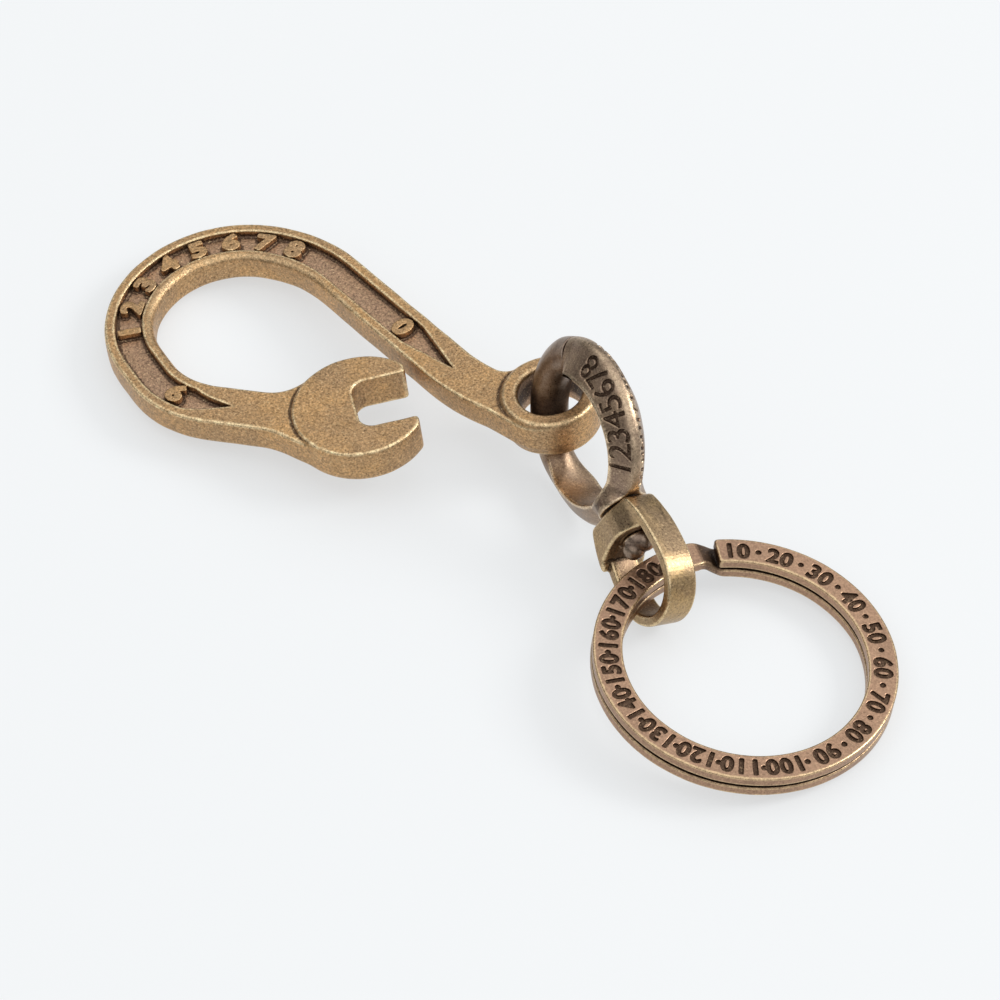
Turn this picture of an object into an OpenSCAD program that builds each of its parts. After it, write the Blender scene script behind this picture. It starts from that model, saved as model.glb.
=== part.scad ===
// Carabiner keychain: a cast spanner hook, a shackle, a swivel stirrup and a split key ring.
// Millimetres. The chain runs along +X, from the hook's loop to the key ring, and lies on z = 0.

/* [Hook band] */
// Width of the hook's band
band_w = 5.8; // [5.4:0.1:6.2]
// Thickness of the hook's band
band_t = 3.7; // [3.4:0.1:4.4]
// Radius that rounds the band's four edges
band_round = 0.45; // [0.2:0.05:0.9]
// Radius of the loop's centre line over the top
loop_top_r = 11.85; // [11.4:0.05:12.6]
// Radius of the loop's centre line where it turns under
loop_low_r = 11.7; // [11:0.1:12.6]
// Straight run between the two lower turns
loop_low_run = 3.2; // [2:0.1:4.4]
// Radius of the bend from the loop into the shank
shoulder_r = 17.25; // [15:0.25:19]
// Angle at which the shank slopes down to the eye
shank_slope = 36; // [33:0.5:38]
// Straight length of the shank
shank_run = 20; // [17:0.1:23]
// Radius of the reverse bend into the eye
reverse_r = 25; // [20:0.5:30]
// Angle at which the shank meets the eye
eye_entry = 12; // [6:0.5:18]
// Straight length of the neck that carries the spanner head
neck_run = 10.3; // [9.3:0.05:12]

/* [Hook channel] */
// Width of the channel sunk in the band's top
channel_w = 3.1; // [2.2:0.1:3.6]
// Depth of the channel
channel_depth = 1; // [0.5:0.05:1.6]
// Length over which the channel narrows to its point on the shank
channel_taper = 7.5; // [4:0.25:11]
// Length over which the channel narrows to its point on the neck
channel_tip = 2.4; // [1.5:0.1:3.5]

/* [Hook eye] */
// Outer radius of the eye
eye_r = 5.55; // [5.3:0.05:6]
// Radius of the eye's bore
eye_bore_r = 3.6; // [3.5:0.05:3.9]
// Height of the eye
eye_h = 5; // [4.6:0.1:5.2]
// Radius that rounds the eye's rims
eye_round = 0.4; // [0.2:0.05:0.45]

/* [Spanner head] */
// Radius of the spanner head
head_r = 7.75; // [7.4:0.05:8.2]
// Thickness of the spanner head
head_t = 4.4; // [4.1:0.1:5]
// Width across the jaws
jaw_w = 7; // [6:0.1:7.4]
// Angle of the jaws from the hook's long axis
jaw_turn = 28; // [22:1:34]
// Distance from the head's centre to the jaws' flat tips
jaw_tip = 6; // [5.6:0.1:6.4]
// Radius in the bottom corners of the jaws
jaw_corner_r = 1.6; // [0.6:0.1:2.4]

/* [Shackle] */
// Outer radius of the shackle
shackle_r = 10.74; // [10.4:0.05:11.2]
// Thickness of the shackle's wall, from its opening to its rim
shackle_wall = 3.54; // [3.4:0.02:3.7]
// How far the opening lies off centre, towards the swivel
shackle_offset = 0.7; // [0.2:0.05:0.9]
// Width of the shackle's inner wall
shackle_w = 4.86; // [4.4:0.02:5.2]
// Width of the shackle's outer rim
shackle_rim_w = 1.18; // [0.8:0.02:1.8]
// Radius of the round bar that passes through the eye
bar_r = 1.9; // [1.7:0.05:1.95]
// Distance from the shackle's rim in to the bar's centre line
bar_inset = 2.04; // [1.9:0.02:2.2]
// Radius of the tenons on the bar's ends
tenon_r = 1.2; // [0.9:0.05:1.4]
// Length of the tenons
tenon_l = 1.5; // [1:0.1:2]

/* [Swivel] */
// Depth by which the swivel's seat is cut into the shackle's rim
seat_cut = 0.84; // [0.6:0.02:1.1]
// Radius of the boss that carries the rivet
boss_r = 2.9; // [2.5:0.05:3.2]
// Radius of the rivet's stem
rivet_r = 1.2; // [1:0.05:1.4]
// Radius of the rivet's domed head
rivet_head_r = 2; // [1.8:0.05:2.2]
// Height of the rivet's domed head
rivet_head_h = 1.6; // [1.4:0.05:1.8]

/* [Stirrup] */
// Width of the stirrup's band, front to back
stirrup_w = 3.7; // [3.4:0.05:4]
// Width of the stirrup's thicker head, front to back
stirrup_head_w = 5.7; // [5.2:0.05:5.8]
// Thickness of the stirrup's head round the rivet
stirrup_head_t = 3.4; // [3:0.05:3.6]
// Rise of the shallow arch under the stirrup's head
stirrup_arch = 0.6; // [0.3:0.05:0.9]
// Radius of the round end of the stirrup's hole
stirrup_hole_r = 4.12; // [4:0.02:4.3]
// Thickness of the stirrup's round end
stirrup_wall = 1.26; // [1.1:0.02:1.6]
// Distance from the stirrup's head to the centre of its round end
stirrup_reach = 8.35; // [8.1:0.05:8.8]
// Length of the half oval that draws the stirrup's flanks in towards its head
stirrup_oval = 10.6; // [10:0.1:12]

/* [Split ring] */
// Outer radius of the split ring
split_r = 16.5; // [16:0.1:17]
// Radial width of the split ring's strip
split_w = 3.28; // [3:0.02:3.4]
// Thickness of each of its two turns
turn_t = 1.25; // [1.1:0.01:1.35]
// Gap between the two turns
turn_gap = 0.28; // [0.2:0.01:0.4]
// Width of the step that joins the turns
jog_w = 2.9; // [2.4:0.05:3]
// Thickness of the step that joins the turns
jog_t = 1.1; // [0.9:0.01:1.15]

/* [Pose] */
// Angle by which the eye's end of the hook is raised
hook_tilt = 6.5; // [6:0.1:7]
// Heading of the hook from the chain's line
hook_turn = 20.5; // [18:0.5:23]
// Lean of the shackle's plane from upright
shackle_lean = 12.6; // [11.5:0.1:13.5]
// Heading of the shackle's face
shackle_turn = 242.8; // [240:0.1:245]
// Turn of the stirrup about its rivet
stirrup_turn = -5.4; // [-8:0.1:-3]
// Tilt of the split ring from flat
split_tilt = 6; // [5.5:0.1:6.5]
// Heading of the split ring's tilt
split_turn = 36; // [33:0.5:39]

/* [Hidden] */
$fn = 96;

gold = [0.62, 0.47, 0.27];
bronze = [0.52, 0.43, 0.31];
umber = [0.45, 0.37, 0.28];
copper = [0.58, 0.41, 0.28];

// Overrun of every cut, and the small gaps between pieces
cut_over = 1;
press_gap = 0.02;
running_gap = 0.08;
seat_gap = 0.15;

// The hook's centre line, from the eye to the spanner head, as straight runs and bends.
// A bend turns left where its angle is positive.
entry_low = 1.8;
entry_back = 1.2;
entry_run = 2.45;
bend_step = 6;
half_turn = 180;
quarter = 90;
eighth = 45;
line_start = [-entry_back, -entry_low, half_turn - eye_entry];
hook_line = [
    ["run", entry_run],
    ["bend", eye_entry - shank_slope, reverse_r],
    ["run", shank_run],
    ["bend", shank_slope, shoulder_r],
    ["bend", quarter, loop_top_r],
    ["bend", eighth, loop_low_r],
    ["run", loop_low_run],
    ["bend", eighth, loop_low_r],
    ["run", neck_run],
];
shank_index = 2;
loop_first_index = 3;
loop_last_index = 7;
neck_index = 8;

function along(a) = [cos(a), sin(a)];
function left_of(a) = [-sin(a), cos(a)];
function side(turn) = turn < 0 ? -1 : 1;
function bend_centre(s, turn, r) = [s[0], s[1]] + side(turn) * r * left_of(s[2]);
function after(s, part) = part[0] == "run"
    ? [s[0] + part[1] * cos(s[2]), s[1] + part[1] * sin(s[2]), s[2]]
    : let (c = bend_centre(s, part[1], part[2]), h = s[2] + part[1],
           p = c - side(part[1]) * part[2] * left_of(h)) [p[0], p[1], h];
function line_at(i) = i == 0 ? line_start : after(line_at(i - 1), hook_line[i - 1]);
function xy(s) = [s[0], s[1]];
function part_steps(part) = part[0] == "run" ? 1 : ceil(abs(part[1]) / bend_step);
function share_of(part, share) = part[0] == "run"
    ? ["run", part[1] * share]
    : ["bend", part[1] * share, part[2]];
function stations(first, last) =
    [for (i = [first : last]) let (part = hook_line[i], n = part_steps(part))
    each [for (k = [i == first ? 0 : 1 : n]) after(line_at(i), share_of(part, k / n))]];

// Where two circles meet, on the left of the line from the first centre to the second
function meet(c1, r1, c2, r2) =
    let (v = c2 - c1, d = norm(v), u = v / d, a = (r1 * r1 - r2 * r2 + d * d) / (2 * d),
         h = sqrt(r1 * r1 - a * a)) c1 + a * u + h * [-u[1], u[0]];

// The spanner head sits above the neck's end
head_past = 6.5;
head_rise = 2.25;
head_fillet_r = 5;
heel_fillet_r = 6;
jaw_back = 0.4;
corner_steps = 2;
channel_lead = 1.5;
body_lift = 0.12;
eye_rim = 0.6;
eye_fillet_r = 4;
fill_t = band_t - band_round;
neck_end = line_at(neck_index + 1);
head_at = xy(neck_end) + [head_past, head_rise];

// Shackle: where the swivel, the eye and the bar's two seams lie round it, in its own plane
pin_at = 73.2;
eye_at = -68;
seam_top = -140;
seam_low = -26;
shackle_bore_r = shackle_r - shackle_wall;
bar_line_r = shackle_r - bar_inset;
seat_r = shackle_r - seat_cut;
shackle_core = shackle_bore_r - shackle_offset - cut_over;

// Stirrup
flank_steps = 12;
crown_steps = 8;
block_reach_share = 1.6;
stirrup_r = stirrup_hole_r + stirrup_wall;
hole_oval = stirrup_oval - stirrup_wall;

// Split ring: the step's middle, its bend, and where the turns stop on each side of it
jog_at = 107;
jog_bend = 40;
jog_meet = 2;
jog_lap = 0.5;
jog_inset = 0.05;
turn_end_gap = 3;
turn_round = 0.3;
split_line_r = split_r - split_w / 2;
level = (turn_t + turn_gap) / 2;
jog_r = level / (1 - cos(jog_bend));
jog_half = jog_r * sin(jog_bend);
jog_reach = asin((jog_half - jog_lap) / split_line_r);
threaded_at = 133.3;

// Rest pose
eye_height = 7.85;
eye_x = 0.55;
eye_y = 12.17;
bar_off_eye = [-0.34, 0.04, -0.15];
ring_in_hole = [-0.29, -1.52, 0];

function turn_x(v, a) = [v[0], v[1] * cos(a) - v[2] * sin(a), v[1] * sin(a) + v[2] * cos(a)];
function turn_y(v, a) = [v[0] * cos(a) + v[2] * sin(a), v[1], v[2] * cos(a) - v[0] * sin(a)];
function turn_z(v, a) = [v[0] * cos(a) - v[1] * sin(a), v[0] * sin(a) + v[1] * cos(a), v[2]];
function turned(v, r) = turn_z(turn_y(turn_x(v, r[0]), r[1]), r[2]);

hook_rot = [0, -hook_tilt, hook_turn];
eye_pos = [eye_x, eye_y, eye_height];
shackle_rot = [0, quarter - shackle_lean, shackle_turn];
bar_mid = bar_line_r * [cos(eye_at), sin(eye_at), 0];
shackle_pos = eye_pos + bar_off_eye - turned(bar_mid, shackle_rot);
stirrup_top = seat_r + seat_gap;
function from_stirrup(v) =
    shackle_pos + turned(turn_z([stirrup_top, 0, 0] + turn_x(v, stirrup_turn), pin_at), shackle_rot);
split_rot = [0, split_tilt, split_turn];
hole_mid = from_stirrup([stirrup_reach, 0, 0] + ring_in_hole);
split_pos = hole_mid - turned(split_line_r * [cos(threaded_at), sin(threaded_at), 0], split_rot);

module in_hook() { translate(eye_pos) rotate(hook_rot) children(); }
module in_shackle() { translate(shackle_pos) rotate(shackle_rot) children(); }
module on_pin() { in_shackle() rotate(pin_at) children(); }
module in_stirrup() { on_pin() translate([stirrup_top, 0, 0]) rotate([stirrup_turn, 0, 0]) children(); }
module in_split() { translate(split_pos) rotate(split_rot) children(); }

// A rectangle with its corners rounded in a few steps, centred
module round_rect(w, h, r) {
    polygon([for (k = [0 : 3], j = [0 : corner_steps]) let (a = quarter * (k + j / corner_steps),
        sx = k == 0 || k == 3 ? 1 : -1, sy = k < 2 ? 1 : -1)
        [sx * (w / 2 - r), sy * (h / 2 - r)] + r * along(a)]);
}

// Sections set square to the hook's centre line, joined into one closed skin
module sweep(stations, outline) {
    n = len(outline);
    last = len(stations) - 1;
    points = [for (s = stations, p = outline)
        [s[0] - p[0] * sin(s[2]), s[1] + p[0] * cos(s[2]), p[1]]];
    sides = [for (k = [0 : last - 1], j = [0 : n - 1])
        [k * n + j, (k + 1) * n + j, (k + 1) * n + (j + 1) % n, k * n + (j + 1) % n]];
    caps = [[for (j = [0 : n - 1]) j], [for (j = [n - 1 : -1 : 0]) last * n + j]];
    polyhedron(points, concat(sides, caps));
}

function bevelled(w, h, b) = [
    [w / 2, b - h / 2], [w / 2, h / 2 - b], [w / 2 - b, h / 2], [b - w / 2, h / 2],
    [-w / 2, h / 2 - b], [-w / 2, b - h / 2], [b - w / 2, -h / 2], [w / 2 - b, -h / 2]];

module band() { sweep(stations(0, neck_index), bevelled(band_w, band_t, band_round)); }

// Half of a rounded rectangle turned about the z axis
module disc(r, h, corner) {
    rotate_extrude() intersection() {
        round_rect(2 * r, h, corner);
        translate([0, -h]) square([2 * r, 2 * h]);
    }
}

module eye_bore() {
    cylinder(r = eye_bore_r, h = eye_h + cut_over, center = true);
    for (flip = [0, half_turn]) rotate([flip, 0, 0]) translate([0, 0, eye_h / 2 - eye_rim])
        cylinder(r1 = eye_bore_r, r2 = eye_bore_r + 2 * eye_rim, h = 2 * eye_rim);
}

// Fills the corner between the band and a round piece with a concave curve
module corner_fill(from, centre, toward, inside, r, h) {
    linear_extrude(h, center = true) difference() {
        polygon([from, inside, toward, centre]);
        translate(centre) circle(r);
    }
}

module eye_fill() {
    s = line_at(1);
    c = bend_centre(s, -1, reverse_r);
    far_r = reverse_r - band_w / 2;
    f = meet([0, 0], eye_r + eye_fillet_r, c, far_r - eye_fillet_r);
    on_eye = f * eye_r / norm(f);
    on_band = c + (f - c) * far_r / norm(f - c);
    corner_fill(on_band, f, on_eye, on_eye * eye_bore_r / eye_r + (on_band - f) / 2, eye_fillet_r, fill_t);
}

module head_fills() {
    top_edge = neck_end[1] + band_w / 2;
    low_edge = neck_end[1] - band_w / 2;
    up_y = top_edge + head_fillet_r;
    up_x = head_at[0] - sqrt(pow(head_r + head_fillet_r, 2) - pow(up_y - head_at[1], 2));
    up = [up_x, up_y];
    corner_fill([up_x, top_edge], up, head_at + (up - head_at) * head_r / norm(up - head_at), head_at,
        head_fillet_r, fill_t);
    low_y = low_edge - heel_fillet_r;
    low_x = head_at[0] - sqrt(pow(head_r + heel_fillet_r, 2) - pow(low_y - head_at[1], 2));
    low = [low_x, low_y];
    corner_fill([low_x, low_edge], low, head_at + (low - head_at) * head_r / norm(low - head_at), head_at,
        heel_fillet_r, fill_t);
}

module jaws() {
    reach = head_r + cut_over;
    linear_extrude(head_t + cut_over, center = true) rotate(jaw_turn) {
        translate([jaw_corner_r - jaw_back, -jaw_w / 2]) square([reach, jaw_w]);
        translate([-jaw_back, jaw_corner_r - jaw_w / 2]) square([reach, jaw_w - 2 * jaw_corner_r]);
        for (y = [-1, 1])
            translate([jaw_corner_r - jaw_back, y * (jaw_w / 2 - jaw_corner_r)]) circle(jaw_corner_r);
        translate([jaw_tip, -reach]) square([reach, 2 * reach]);
    }
}

// The channel follows the band and ends in a point on the shank and on the neck
module channel() {
    rise = channel_depth + cut_over;
    floor_z = band_t / 2 - channel_depth;
    shank = line_at(shank_index);
    neck = line_at(neck_index);
    loop = stations(loop_first_index, loop_last_index);
    tip_in = xy(shank) - channel_lead * along(shank[2]);
    full_in = xy(shank) + (channel_taper - channel_lead) * along(shank[2]);
    tip_out = xy(neck) + channel_tip * along(neck[2]);
    half = channel_w / 2;
    translate([0, 0, floor_z]) linear_extrude(rise) polygon(concat(
        [tip_in, full_in + half * left_of(shank[2])],
        [for (s = loop) xy(s) + half * left_of(s[2])],
        [tip_out],
        [for (k = [len(loop) - 1 : -1 : 0]) xy(loop[k]) - half * left_of(loop[k][2])],
        [full_in - half * left_of(shank[2])]));
}

module hook() {
    color(gold) in_hook() difference() {
        union() {
            disc(eye_r, eye_h, eye_round);
            translate([0, 0, body_lift]) {
                band();
                eye_fill();
                difference() {
                    union() {
                        head_fills();
                        translate(head_at) disc(head_r, head_t, band_round);
                    }
                    translate(head_at) jaws();
                }
            }
        }
        eye_bore();
        translate([0, 0, body_lift]) channel();
    }
}

module shackle_section() {
    half = shackle_w / 2;
    rim = shackle_rim_w / 2;
    polygon([[shackle_core, -half], [shackle_bore_r, -half], [shackle_r, -rim],
        [shackle_r, rim], [shackle_bore_r, half], [shackle_core, half]]);
}

module tenon_hole(at, way) {
    rotate(at) translate([bar_line_r, 0, 0]) rotate([way * quarter, 0, 0])
        cylinder(r = tenon_r + press_gap, h = 2 * (tenon_l + press_gap), center = true);
}

module shackle_ring() {
    color(bronze) in_shackle() difference() {
        union() {
            rotate(seam_low) rotate_extrude(angle = 2 * half_turn + seam_top - seam_low) shackle_section();
            rotate([0, quarter, pin_at]) translate([0, 0, shackle_bore_r])
                cylinder(r = boss_r, h = seat_r - shackle_bore_r);
        }
        rotate(pin_at) translate([shackle_offset, 0, 0])
            cylinder(r = shackle_bore_r, h = shackle_w + cut_over, center = true);
        rotate(pin_at) translate([seat_r, -shackle_r, -shackle_w])
            cube([shackle_r, 2 * shackle_r, 2 * shackle_w]);
        rotate([0, quarter, pin_at]) cylinder(r = rivet_r + press_gap, h = shackle_r + cut_over);
        tenon_hole(seam_top, 1);
        tenon_hole(seam_low, 1);
    }
}

module shackle_bar() {
    span = seam_low - seam_top;
    color(umber) in_shackle() {
        rotate(seam_top) rotate_extrude(angle = span) translate([bar_line_r, 0]) circle(bar_r);
        rotate(seam_top) translate([bar_line_r, 0, 0]) rotate([quarter, 0, 0])
            cylinder(r = tenon_r, h = tenon_l);
        rotate(seam_low) translate([bar_line_r, 0, 0]) rotate([-quarter, 0, 0])
            cylinder(r = tenon_r, h = tenon_l);
    }
}

module swivel_rivet() {
    inner_end = shackle_bore_r + shackle_offset;
    head_base = stirrup_top + stirrup_head_t + running_gap;
    dome_r = (pow(rivet_head_r, 2) + pow(rivet_head_h, 2)) / (2 * rivet_head_h);
    color(umber) on_pin() rotate([0, quarter, 0]) {
        translate([0, 0, inner_end]) cylinder(r = rivet_r, h = head_base - inner_end);
        translate([0, 0, head_base]) intersection() {
            translate([0, 0, rivet_head_h - dome_r]) sphere(dome_r);
            cylinder(r = rivet_head_r, h = rivet_head_h);
        }
    }
}

// How far out the flank of an oval lies, at a distance from the stirrup's head
function flank_y(x, oval, r) = r * sqrt(1 - pow((stirrup_reach - x) / oval, 2));

// The stirrup's outline, or its hole: a round end, flanks that draw in and a shallow arch
module stirrup_shape(top, arch, oval, r) {
    last = asin((stirrup_reach - top - arch) / oval);
    corner = r * cos(last);
    flank = [for (k = [0 : flank_steps]) let (a = k * last / flank_steps)
        [stirrup_reach - oval * sin(a), r * cos(a)]];
    crown = [for (k = [1 : crown_steps - 1]) let (s = 1 - 2 * k / crown_steps)
        [top + arch * s * s, corner * s]];
    back = [for (k = [flank_steps : -1 : 0]) [flank[k][0], -flank[k][1]]];
    translate([stirrup_reach, 0]) circle(r);
    polygon(concat(flank, crown, back));
}

module stirrup_outline() { stirrup_shape(0, 0, stirrup_oval, stirrup_r); }

// The part of the outline above the arch, where the head is thicker than the band
module stirrup_head() {
    corner = flank_y(stirrup_head_t + stirrup_arch, hole_oval, stirrup_hole_r);
    arch = [for (k = [0 : crown_steps]) let (s = block_reach_share * (1 - 2 * k / crown_steps))
        [stirrup_head_t + stirrup_arch * s * s, corner * s]];
    intersection() {
        stirrup_outline();
        polygon(concat([[-cut_over, -stirrup_reach], [-cut_over, stirrup_reach]], arch));
    }
}

module stirrup() {
    color(bronze) in_stirrup() difference() {
        union() {
            linear_extrude(stirrup_w, center = true) stirrup_outline();
            linear_extrude(stirrup_head_w, center = true) stirrup_head();
        }
        linear_extrude(stirrup_head_w + cut_over, center = true)
            stirrup_shape(stirrup_head_t, stirrup_arch, hole_oval, stirrup_hole_r);
        translate([-cut_over, 0, 0]) rotate([0, quarter, 0])
            cylinder(r = rivet_r + running_gap, h = stirrup_head_t + 2 * cut_over);
        translate([stirrup_head_t, 0, 0]) rotate([0, quarter, 0])
            cylinder(r = rivet_head_r + seat_gap, h = stirrup_arch + cut_over);
    }
}

module turn(z, from, span) {
    rotate(from) rotate_extrude(angle = span) translate([split_line_r, z])
        round_rect(split_w, turn_t, turn_round);
}

// The step between the turns is two arcs that bend down from one turn and level out in the other
module jog() {
    rotate(jog_at) translate([split_line_r - jog_inset, 0, 0])
        for (flip = [0, half_turn]) rotate([flip, 0, 0])
            translate([0, -jog_half, jog_r - level]) rotate([0, quarter, 0])
                rotate_extrude(angle = jog_bend + jog_meet) translate([jog_r, 0])
                    round_rect(jog_t, jog_w, turn_round);
}

module split_ring() {
    color(copper) in_split() {
        turn(level, jog_at + jog_reach, 2 * half_turn - 2 * jog_reach);
        turn(-level, jog_at + jog_reach + turn_end_gap, 2 * half_turn - 2 * jog_reach - turn_end_gap);
        jog();
    }
}

hook();
shackle_ring();
shackle_bar();
swivel_rivet();
stirrup();
split_ring();
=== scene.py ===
import math
import bpy
import numpy as np
from mathutils import Matrix, Vector


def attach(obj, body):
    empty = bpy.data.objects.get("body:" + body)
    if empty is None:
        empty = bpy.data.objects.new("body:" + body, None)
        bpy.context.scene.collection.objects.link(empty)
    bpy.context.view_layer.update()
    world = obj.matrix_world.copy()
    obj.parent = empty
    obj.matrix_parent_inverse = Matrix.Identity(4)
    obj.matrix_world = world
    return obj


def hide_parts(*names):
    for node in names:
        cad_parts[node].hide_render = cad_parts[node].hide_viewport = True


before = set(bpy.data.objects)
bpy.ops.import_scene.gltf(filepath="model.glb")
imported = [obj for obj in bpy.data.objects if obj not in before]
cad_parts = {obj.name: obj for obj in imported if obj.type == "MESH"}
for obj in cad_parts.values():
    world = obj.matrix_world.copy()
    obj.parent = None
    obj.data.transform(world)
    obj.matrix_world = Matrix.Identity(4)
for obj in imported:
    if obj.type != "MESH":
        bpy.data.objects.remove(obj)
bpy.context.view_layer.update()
mm = 0.001


# placing: every casting is worked out in its own millimetres and then set down in the frame
def turned(axis, degrees):
    return Matrix.Rotation(math.radians(degrees), 4, axis)


def moved(x, y, z):
    return Matrix.Translation((x, y, z))


# working with distances: below zero is metal, above zero is air, in millimetres
farAway = 50


def softMax(a, b, blend):
    h = np.maximum(blend - np.abs(a - b), 0) / blend
    return np.maximum(a, b) + h * h * blend * 0.25


def softMin(a, b, blend):
    return -softMax(-a, -b, blend)


def eased(share):
    return share * share * (3 - 2 * share)


# a flat outline given its thickness, with rounded edges
def slab(flat, z, half, rounding):
    a = flat + rounding
    b = np.abs(z) - half + rounding
    return np.minimum(np.maximum(a, b), 0) + np.hypot(np.maximum(a, 0), np.maximum(b, 0)) - rounding


# distance from an outline
def polygonField(segments, x, y):
    best = np.full(x.shape, 1e6, np.float32)
    odd = np.zeros(x.shape, bool)
    for ax, ay, bx, by in segments:
        ex, ey = bx - ax, by - ay
        t = np.clip(((x - ax) * ex + (y - ay) * ey) / max(ex * ex + ey * ey, 1e-12), 0, 1)
        best = np.minimum(best, (x - ax - t * ex) ** 2 + (y - ay - t * ey) ** 2)
        if ay != by:
            odd ^= ((ay > y) != (by > y)) & (x < ex * (y - ay) / ey + ax)
    best = np.sqrt(best)
    return np.where(odd, -best, best)


def closedSegments(points):
    return [(*a, *b) for a, b in zip(points, points[1:] + points[:1])]


def grid(low, high, cell):
    return [np.arange(a, b + cell, cell, dtype=np.float32) for a, b in zip(low, high)]


# a slow, seeded unevenness of the cast surface, in millimetres
def unevenness(axes, size, amount, seed):
    weights, counts = [], []
    for axis in axes:
        spot = (axis - axis[0]) / size
        first = spot.astype(int)
        share = eased(spot - first)
        rows = np.zeros((len(axis), first[-1] + 2), np.float32)
        rows[np.arange(len(axis)), first] = 1 - share
        rows[np.arange(len(axis)), first + 1] = share
        weights.append(rows)
        counts.append(rows.shape[1])
    knots = np.random.default_rng(seed).uniform(-amount, amount, counts).astype(np.float32)
    return np.einsum("ia,jb,kc,abc->ijk", *weights, knots, optimize=True)


# plain numerals from Blender's own font, as outlines one unit high
def numeralOutlines(characters):
    outlines = {}
    for character in characters:
        curve = bpy.data.curves.new("numeral", "FONT")
        curve.body = character
        curve.align_x = "CENTER"
        curve.resolution_u = 4
        holder = bpy.data.objects.new("numeral", curve)
        bpy.context.scene.collection.objects.link(holder)
        bpy.context.view_layer.update()
        mesh = holder.evaluated_get(bpy.context.evaluated_depsgraph_get()).to_mesh()
        used = {}
        for face in mesh.polygons:
            for key in face.edge_keys:
                used[key] = used.get(key, 0) + 1
        points = np.array([v.co[:2] for v in mesh.vertices])
        digitHeight = 0.72
        points[:, 1] -= digitHeight / 2
        points /= digitHeight
        outlines[character] = [(*points[a], *points[b]) for (a, b), n in used.items() if n == 1]
        bpy.data.objects.remove(holder)
        bpy.data.curves.remove(curve)
    return outlines


numerals = numeralOutlines("0123456789")
print("numerals ready")


# how far around a spot its wear, and its grime and painted shade, are judged, in millimetres
wearReach = 0.3
nookReach = 0.45


# turning a distance grid into a mesh: one vertex in each cell that the surface passes through
# wear follows unmarked, the piece before its marks; depth is measured from plain, before its hollows
def skin(name, field, unmarked, plain, low, cell, place):
    inside = field < 0
    count = np.zeros([n - 1 for n in field.shape], np.int8)
    corners = [(i, j, k) for i in (0, 1) for j in (0, 1) for k in (0, 1)]
    for i, j, k in corners:
        count += inside[i:field.shape[0] - 1 + i, j:field.shape[1] - 1 + j, k:field.shape[2] - 1 + k]
    mixed = (count > 0) & (count < 8)
    cells = np.argwhere(mixed)
    number = np.full(mixed.shape, -1, np.int32)
    number[mixed] = np.arange(len(cells))
    total = np.zeros((len(cells), 3), np.float32)
    hits = np.zeros(len(cells), np.float32)
    for a in corners:
        for axis in range(3):
            if a[axis]:
                continue
            b = list(a)
            b[axis] = 1
            fa = field[tuple((cells + a).T)]
            fb = field[tuple((cells + b).T)]
            crossed = (fa < 0) != (fb < 0)
            share = np.where(crossed, fa / np.where(crossed, fa - fb, 1), 0)
            spot = np.array(a, np.float32) + np.eye(3, dtype=np.float32)[axis] * share[:, None]
            total[crossed] += spot[crossed]
            hits[crossed] += 1
    points = np.array(low, np.float32) + cell * (cells + total / hits[:, None])
    quads = []
    for axis in range(3):
        u, v = [a for a in range(3) if a != axis]
        first = inside.take(range(inside.shape[axis] - 1), axis)
        second = inside.take(range(1, inside.shape[axis]), axis)
        edges = np.argwhere(first != second)
        edges = edges[(edges[:, u] > 0) & (edges[:, v] > 0)]
        edges = edges[(edges[:, u] < mixed.shape[u]) & (edges[:, v] < mixed.shape[v])]
        outward = first[tuple(edges.T)]
        du, dv = np.eye(3, dtype=int)[u], np.eye(3, dtype=int)[v]
        ring = [number[tuple((edges - s).T)] for s in (0 * du, du, du + dv, dv)]
        quad = np.stack(ring, 1)
        flip = outward if axis != 1 else ~outward
        quad[flip] = quad[flip][:, ::-1]
        quads.append(quad[:, ::-1])
    quads = np.concatenate(quads)
    # how sharp the edge is here, how deep in a nook, and how deep below the plain face
    reach = max(1, round(wearReach / cell))
    near = np.round((points - np.array(low)) / cell).astype(int)
    near = np.clip(near, reach, np.array(field.shape) - 1 - reach)

    def bendOf(shape, step):
        spot = np.clip(near, step, np.array(field.shape) - 1 - step)
        total = -6 * shape[tuple(spot.T)]
        for axis in range(3):
            for way in (-step, step):
                total = total + shape[tuple((spot + way * np.eye(3, dtype=int)[axis]).T)]
        return total / (step * cell) ** 2

    bend = bendOf(unmarked, reach)
    nook = -bendOf(field, max(2, round(nookReach / cell)))
    depth = -plain[tuple(near.T)]
    mesh = bpy.data.meshes.new(name)
    toFrame = np.array(Matrix.Scale(mm, 4) @ place)
    placed = points @ toFrame[:3, :3].T + toFrame[:3, 3]
    mesh.vertices.add(len(placed))
    mesh.vertices.foreach_set("co", placed.astype(np.float32).ravel())
    mesh.loops.add(quads.size)
    mesh.loops.foreach_set("vertex_index", quads.astype(np.int32).ravel())
    mesh.polygons.add(len(quads))
    mesh.polygons.foreach_set("loop_start", np.arange(0, quads.size, 4, dtype=np.int32))
    mesh.update(calc_edges=True)
    mesh.polygons.foreach_set("use_smooth", np.ones(len(quads), bool))
    for label, values in (("worn", bend), ("sunk", depth), ("nook", nook)):
        mesh.attributes.new(label, "FLOAT", "POINT").data.foreach_set("value", values.astype(np.float32))
    mesh.validate()
    piece = bpy.data.objects.new(name, mesh)
    bpy.context.scene.collection.objects.link(piece)
    print(name, len(placed), "vertices")
    return piece


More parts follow.
